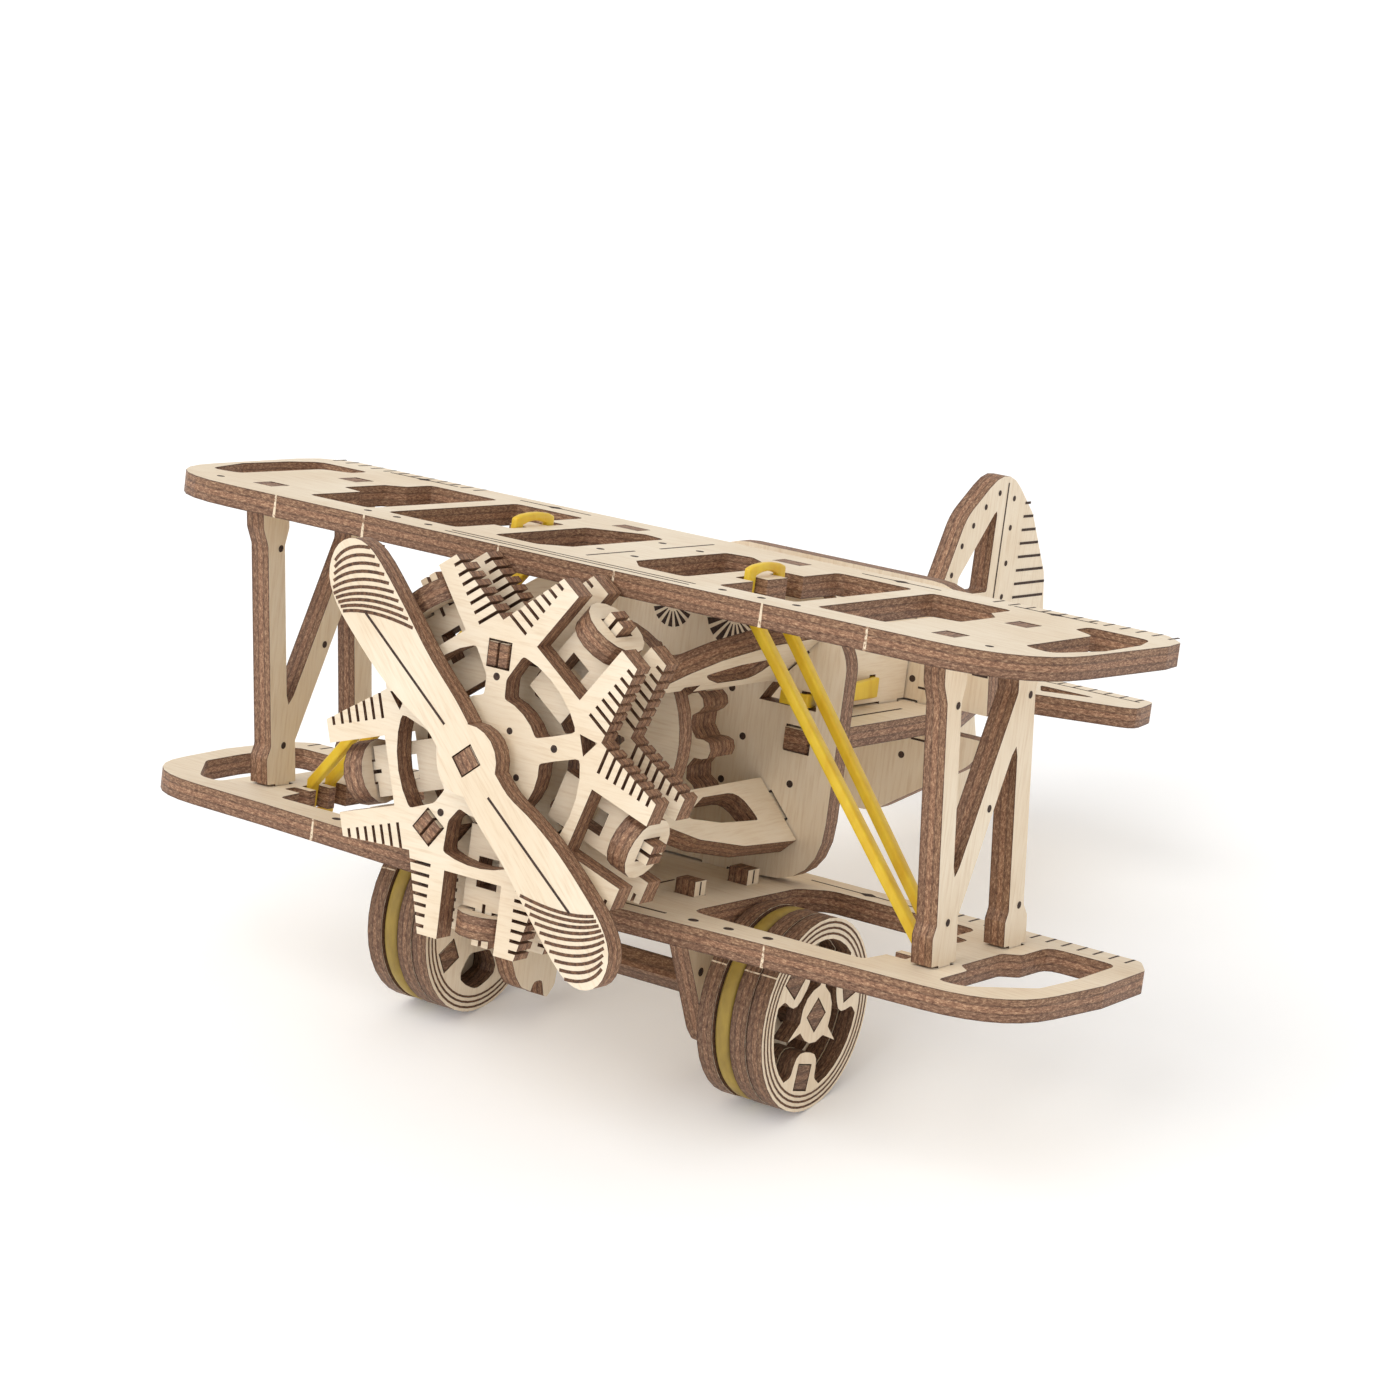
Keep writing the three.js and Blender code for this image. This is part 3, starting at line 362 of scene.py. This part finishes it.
# Faces of the plates: each turns a point on the face and a height over it into level coordinates.

def top_face(z):
    return lambda u, v, h: (u, v, z + h)


def front_face(y):
    return lambda u, v, h: (u, y - h, v)


def back_face(y):
    return lambda u, v, h: (u, y + h, v)


def side_face(x):
    """The face at x that looks away from the middle of the aircraft."""
    return lambda u, v, h: (x + math.copysign(h, x), u, v)


def inner_face(x):
    return lambda u, v, h: (x - math.copysign(h, x), u, v)


def diamond(marks, face, u, v, size=0.9):
    marks.prism(face, [(u - 1.6 * size, v), (u, v - size), (u + 1.6 * size, v), (u, v + size)])


def engrave_wings(marks):
    top = top_face(WING_TOP)
    for y in (-10.4, -11.9):
        marks.line(top, [(-19, y), (19, y)])
    marks.line(top, [(0, 10), (0, 23)])
    marks.line(top, [(0, -7), (0, 4)])
    low = top_face(0)
    for s in (-1, 1):
        for u, v in ((2.7, 0), (23, -10.3), (28.5, -9.9), (33.5, -9.7), (60, -8.4), (3, 15)):
            marks.dot(top, s * u, v)
        for centre in (28, 51):
            marks.line(top, [(s * (centre - 6), 25.4), (s * (centre + 6), 25.4)])
            diamond(marks, top, s * centre, 25.4)
        marks.line(low, [(s * 14, -9.4), (s * 20, -9)], 0.5)
        for u, v in ((24, -8.7), (29, -8.2), (34.5, -7.6)):
            marks.dot(low, s * u, v, 0.7)
        marks.line(low, [(s * 20, 26.4), (s * 39, 26.4)])
        diamond(marks, low, s * 29, 26.4)
        marks.line(low, [(s * 10, -3), (s * 10, 8)])
        for i in range(12):
            u = 42 + 2.3 * i
            marks.line(top, [(s * u, 25.2), (s * u, 28.1)])
            marks.line(low, [(s * u, 26.6), (s * u, 29.4)])


def engrave_struts(marks):
    holes = ((-4.2, 33.6), (1.0, 5.7), (7.7, 19.5), (14.4, 33.5), (19.6, 5.6))
    for s in (-1, 1):
        for face in (side_face(s * STRUT_X[1]), inner_face(s * STRUT_X[0])):
            for y, z in holes:
                marks.dot(face, y, z, 0.5)


def engine_point(degrees, out, across=0.0):
    a = math.radians(degrees)
    x = out * math.cos(a) - across * math.sin(a)
    z = out * math.sin(a) + across * math.cos(a)
    return x, z + SHAFT_Z


def engrave_engine(marks):
    front = front_face(STAR_FRONT_Y)
    for angle in STAR_ARMS:
        marks.dot(front, *engine_point(angle, 10.4), 0.5)
    for angle in CYLINDERS:
        marks.dot(front, *engine_point(angle, 5.0), 0.45)


def engrave_burst(marks, face, x, z, inner, outer, rays):
    """Wedge-shaped rays round a point."""
    for i in range(rays):
        t = 2 * math.pi * i / rays
        corners = ((inner, -0.05), (outer, -0.11), (outer, 0.11), (inner, 0.05))
        marks.prism(face, [(x + r * math.cos(t + d), z + r * math.sin(t + d)) for r, d in corners])


def engrave_bulkheads(marks):
    front = front_face(BULKHEAD_FRONT_Y)
    engrave_burst(marks, front, -3.8, 33.6, 1.0, 3.1, 16)
    engrave_burst(marks, front, 6.2, 33.9, 1.2, 4.4, 18)
    for s in (-1, 1):
        for x, z in ((7.2, 24.3), (9.8, 18.2), (18, 13.4), (7.3, 11.8)):
            marks.dot(front, s * x, z, 0.5)
        for face in (front_face(FORMER_Y[0]), back_face(FORMER_Y[1])):
            marks.dot(face, s * 14.2, 24.2, 0.5)
            marks.dot(face, s * 14.1, 13.2, 0.5)
            for low, high, z in ((15.3, 17.9, 23.15), (15.3, 18.1, 15.85), (23.5, 26, 26.7)):
                marks.line(face, [(s * low, z), (s * high, z)], 0.3)


def engrave_tail(marks):
    deck = top_face(DECK_TOP)
    for s in (-1, 1):
        marks.line(deck, [(s * 17, 34), (s * 17, 50)], 0.4)
        marks.line(deck, [(s * 6, 96), (s * 31, 96)])
        for i in range(8):
            u = 12 + 2.6 * i
            marks.line(deck, [(s * u, 96.3), (s * u, 98.9)])
        face = side_face(s * FIN_X)
        marks.line(face, [(101.7, 22), (101.7, 48.5)])
        for y, z in ((87.6, 35), (89.6, 39.3), (92.3, 42.3), (95.4, 45), (99.2, 47), (104, 46), (104, 41.5),
                     (104.2, 36), (104.3, 30.8)):
            marks.dot(face, y, z, 0.45)
        for i in range(8):
            z = 30.5 + 2.1 * i
            edge = 117.6 - max(0.0, z - 33) * 0.66
            marks.line(face, [(107.8, z), (edge, z)], 0.4)


def engrave_legs(marks):
    for s in (-1, 1):
        for face in (side_face(s * LEG_X[1]), inner_face(s * LEG_X[0])):
            marks.dot(face, 6.1, -10.6, 0.6)
            for y in (3.3, 16.2):
                marks.line(face, [(y, 0.1), (y, 1.9)], 0.3)


def blade(u, v, half):
    """A point u along a blade and v across it, for the blade turned by half from the first."""
    a = math.radians(BLADE_TURN) + half
    return (u * math.cos(a) - v * math.sin(a), u * math.sin(a) + v * math.cos(a) + SHAFT_Z)


def engrave_spines(marks):
    for half in (0, math.pi):
        for face in (front_face(PROPELLER_Y[0]), back_face(PROPELLER_Y[1])):
            marks.line(face, [blade(5.5 + 1.5 * i, 0.3 + 0.22 * i, half) for i in range(13)], 0.34)


def engrave_grooves(marks):
    for half in (0, math.pi):
        for face in (front_face(PROPELLER_Y[0]), back_face(PROPELLER_Y[1])):
            for k in range(10):
                left, right = 25.6 + 0.66 * k, 18 + 1.32 * k
                wide = 5.9 - max(0.0, left - 28.5) * 0.85
                points = []
                for i in range(9):
                    t = i / 8
                    u = left + (right - left) * t + 4 * 0.9 * t * (1 - t)
                    points.append(blade(u, wide - (wide + 2.3) * t, half))
                marks.line(face, points, 0.42)


def wheel_faces(kind, side):
    """How far out the inner and the outer face of a wheel plate lie, in millimetres."""
    ends = [abs(corner[0]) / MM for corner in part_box("wheel_" + kind + "_" + side)]
    return min(ends), max(ends)


def engrave_wheels(marks):
    """Three rings on each outer face, and a scorched rim on the faces inside the gaps."""
    for side, s in (("left", -1), ("right", 1)):
        inside = wheel_faces("disc", side)[0]
        outside = wheel_faces("rim", side)[1]
        for face in (side_face(s * outside), inner_face(s * inside)):
            for radius in (10.9, 11.65, 12.4):
                marks.ring(face, AXLE_LEVEL[1], AXLE_LEVEL[2], radius, 0.3)
        for kind in ("disc", "backing", "rim"):
            low, high = wheel_faces(kind, side)
            if low > inside:
                marks.ring(inner_face(s * low), AXLE_LEVEL[1], AXLE_LEVEL[2], 12.6, 0.7)
            if high < outside:
                marks.ring(side_face(s * high), AXLE_LEVEL[1], AXLE_LEVEL[2], 12.6, 0.7)


def scar_front(marks, y, x, low, high):
    """A strip across the front edge of a level plate, narrower at the top."""
    tip = 0.6 * SCAR
    marks.prism(front_face(y), [(x - SCAR, low), (x + SCAR, low), (x + tip, high), (x - tip, high)])


def tread(degrees):
    """The round edge of the wheel plates at an angle: u runs along the axle and v along the edge."""
    a = math.radians(degrees)

    def at(u, v, h):
        out = WHEEL_R + h
        y = AXLE_LEVEL[1] + out * math.cos(a) - v * math.sin(a)
        return (u, y, AXLE_LEVEL[2] + out * math.sin(a) + v * math.cos(a))

    return at


def add_tab_marks():
    """Pale scars on the cut edges, where each plate was snapped out of its sheet."""
    pale = tab_scar("tab_scar")
    marks = Engraving()
    for s in (-1, 1):
        for x in (9, 31, 46):
            scar_front(marks, WING_FRONT_Y + 0.5 * x / 68.2, s * x, WING_TOP - PLY, WING_TOP)
        for x in (12, 36):
            scar_front(marks, WING_FRONT_Y + 3.9 * x / 45 - 0.01, s * x, -PLY, 0)
    marks.make("airframe_tab_scars", "airframe", pale)
    marks = Engraving()
    for side, s in (("left", -1), ("right", 1)):
        for degrees in (150, 265, 20):
            for kind in ("disc", "backing", "rim"):
                low, high = (s * x for x in wheel_faces(kind, side))
                marks.prism(tread(degrees), [(low, -0.12), (high, -0.08), (high, 0.12), (low, 0.08)])
    marks.make("wheel_tab_scars", "wheelset", pale)


def engrave():
    char = scorched("scorched_line", (0.022, 0.013, 0.010), (0.075, 0.040, 0.026))
    brown = scorched("scorched_groove", (0.055, 0.026, 0.016), (0.19, 0.095, 0.05))
    marks = Engraving()
    for cut in (engrave_wings, engrave_struts, engrave_engine, engrave_bulkheads, engrave_tail, engrave_legs):
        cut(marks)
    marks.make("airframe_engraving", "airframe", char)
    for name, body, cut, material in (("propeller_spines", "propeller_group", engrave_spines, char),
                                      ("propeller_grooves", "propeller_group", engrave_grooves, brown),
                                      ("wheel_engraving", "wheelset", engrave_wheels, brown)):
        marks = Engraving()
        cut(marks)
        marks.make(name, body, material)


# ---------- rubber: rounded copies of the plain loops and rings ----------

def rounded_copy(node, name, material, width):
    """A copy of a plain loop with its long edges rounded off, which stands for the loop."""
    mesh = frame["nodes"][node].data.copy()
    mesh.materials.clear()
    mesh.materials.append(material)
    piece = bpy.data.objects.new(name, mesh)
    bpy.context.scene.collection.objects.link(piece)
    work = bmesh.new()
    work.from_mesh(mesh)
    bmesh.ops.remove_doubles(work, verts=work.verts, dist=1e-6)
    bmesh.ops.dissolve_limit(work, angle_limit=math.radians(1), verts=work.verts, edges=work.edges)
    sharp = [e for e in work.edges if len(e.link_faces) == 2 and e.calc_face_angle() > math.radians(60)]
    bmesh.ops.bevel(work, geom=sharp, offset=width * MM, segments=3, affect="EDGES", profile=0.5)
    for f in work.faces:
        f.smooth = True
    work.to_mesh(mesh)
    work.free()
    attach(piece, frame_body(node))
    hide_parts(node)
    return piece


def frame_body(node):
    for body, members in frame["record"]["behaviour"]["bodies"].items():
        if node in members:
            return body
    raise ValueError(node)


def make_tyre(side, material):
    """A soft rubber ring in the groove between the wheel's plates."""
    low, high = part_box("tyre_" + side)
    middle = (low[0] + high[0]) / 2
    half = (high[0] - low[0]) / 2
    outer = (WHEEL_R - 0.05) * MM
    inner = 11.2 * MM
    squareness = 0.7
    turns, around = 96, 14
    verts, faces = [], []
    for i in range(turns):
        t = 2 * math.pi * i / turns
        direction = AFT * math.cos(t) + UP * math.sin(t)
        for k in range(around):
            a = 2 * math.pi * k / around
            out = math.copysign(abs(math.cos(a)) ** squareness, math.cos(a))
            along = math.copysign(abs(math.sin(a)) ** squareness, math.sin(a))
            r = (outer + inner) / 2 + (outer - inner) / 2 * out
            verts.append(tuple(Vector((middle + half * along, AXLE.y, AXLE.z)) + direction * r))
    for i in range(turns):
        for k in range(around):
            a, b = i * around + k, i * around + (k + 1) % around
            c, d = ((i + 1) % turns) * around + (k + 1) % around, ((i + 1) % turns) * around + k
            faces.append((a, d, c, b))
    mesh = bpy.data.meshes.new("rubber_tyre_" + side)
    mesh.from_pydata(verts, [], faces)
    work = bmesh.new()
    work.from_mesh(mesh)
    bmesh.ops.recalc_face_normals(work, faces=work.faces)
    for f in work.faces:
        f.smooth = True
    work.to_mesh(mesh)
    work.free()
    mesh.materials.append(material)
    piece = bpy.data.objects.new("rubber_tyre_" + side, mesh)
    bpy.context.scene.collection.objects.link(piece)
    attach(piece, "wheelset")
    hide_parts("tyre_" + side)


def make_rubber():
    band = rubber("band_rubber", (0.80, 0.565, 0.035), (0.70, 0.43, 0.012), 0.42, 0.2)
    ring = rubber("tyre_rubber", (0.36, 0.245, 0.04), (0.23, 0.15, 0.026), 0.55, 0.05)
    for side in ("left", "right"):
        rounded_copy("bracing_band_" + side, "bracing_rubber_" + side, band, 0.3)
        rounded_copy("fuselage_band_" + side, "fuselage_rubber_" + side, band, 0.2)
        make_tyre(side, ring)


# ---------- camera, light and floor ----------

def look_at(thing, target):
    thing.rotation_euler = (Vector(target) - thing.location).to_track_quat("-Z", "Y").to_euler()


def add_camera():
    camera = bpy.data.objects.new("camera", bpy.data.cameras.new("camera"))
    bpy.context.scene.collection.objects.link(camera)
    camera.data.lens = 97.8
    camera.data.sensor_width = 36
    camera.data.clip_start = 0.01
    camera.location = Vector((0.2693, AXLE.y - 0.3790, 0.2279))
    look_at(camera, (0.0003, AXLE.y + 0.0200, 0.0437))
    bpy.context.scene.camera = camera


def add_sun(name, comes_from, strength, spread):
    light = bpy.data.lights.new(name, "SUN")
    light.energy = strength
    light.angle = math.radians(spread)
    lamp = bpy.data.objects.new(name, light)
    bpy.context.scene.collection.objects.link(lamp)
    lamp.location = comes_from
    look_at(lamp, (0, 0, 0))


def add_studio():
    bpy.context.scene.view_settings.view_transform = "Standard"
    world = bpy.data.worlds.new("studio")
    bpy.context.scene.world = world
    world.use_nodes = True
    background = world.node_tree.nodes["Background"]
    background.inputs["Color"].default_value = (1.0, 0.99, 0.975, 1)
    background.inputs["Strength"].default_value = 0.78
    add_sun("key", (-0.25, -0.75, 0.85), 1.25, 50)
    add_sun("fill", (0.9, -0.5, 0.5), 0.25, 60)
    bpy.ops.mesh.primitive_plane_add(size=8, location=(0, 0, 0))
    floor = bpy.context.object
    floor.name = "floor"
    material, _, _, bsdf = new_material("floor_white")
    bsdf.inputs["Base Color"].default_value = (0.96, 0.96, 0.96, 1)
    bsdf.inputs["Roughness"].default_value = 0.9
    bsdf.inputs["Emission Color"].default_value = (1, 1, 1, 1)
    bsdf.inputs["Emission Strength"].default_value = 0.1
    floor.data.materials.append(material)


add_camera()
finish_plates()
engrave()
add_tab_marks()
make_rubber()
add_studio()
